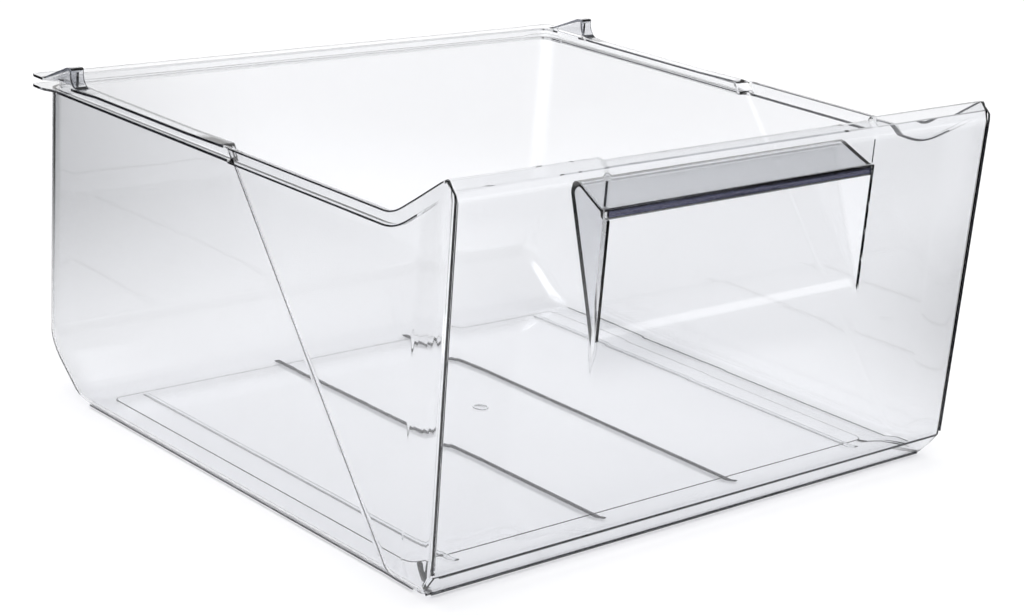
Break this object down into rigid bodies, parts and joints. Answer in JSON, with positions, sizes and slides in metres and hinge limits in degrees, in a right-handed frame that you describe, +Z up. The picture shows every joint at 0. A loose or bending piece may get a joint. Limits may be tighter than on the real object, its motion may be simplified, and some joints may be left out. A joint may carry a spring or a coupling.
{
  "type": "refrigerator drawer",
  "caption": "Clear open-top freezer drawer with a recessed finger pocket, stepped side walls, outward guide rails with rear stops and a sloping rear foot.",
  "frame": {"origin": "centre of the footprint's bounding box, on the plane the drawer stands on", "axes": "+X to the right seen from the front, +Y from the finger pocket to the back, +Z up"},
  "size_m": [0.432, 0.4074, 0.2317],
  "materials": {
    "clear_plastic": "clear polished polystyrene"
  },
  "bodies": {
    "root": {"back_rim": "clear_plastic", "back_wall": "clear_plastic", "floor_front_border": "clear_plastic", "floor_left_border": "clear_plastic", "floor_panel": "clear_plastic", "floor_rear_border": "clear_plastic", "floor_rib_inner_left": "clear_plastic", "floor_rib_inner_right": "clear_plastic", "floor_rib_outer_left": "clear_plastic", "floor_rib_outer_right": "clear_plastic", "floor_right_border": "clear_plastic", "front_panel": "clear_plastic", "front_toe": "clear_plastic", "front_top_band": "clear_plastic", "gate_mark": "clear_plastic", "grip_lip": "clear_plastic", "grip_strip": "clear_plastic", "left_front_cheek": "clear_plastic", "left_front_rim": "clear_plastic", "left_guide_rail": "clear_plastic", "left_rear_corner": "clear_plastic", "left_seam_step": "clear_plastic", "left_side_wall": "clear_plastic", "left_stop_hook": "clear_plastic", "pocket_back": "clear_plastic", "pocket_left_gusset": "clear_plastic", "pocket_right_gusset": "clear_plastic", "pocket_roof": "clear_plastic", "rear_chamfer_panel": "clear_plastic", "right_front_cheek": "clear_plastic", "right_front_rim": "clear_plastic", "right_guide_rail": "clear_plastic", "right_rear_corner": "clear_plastic", "right_seam_step": "clear_plastic", "right_side_wall": "clear_plastic", "right_stop_hook": "clear_plastic"}
  },
  "joints": []
}
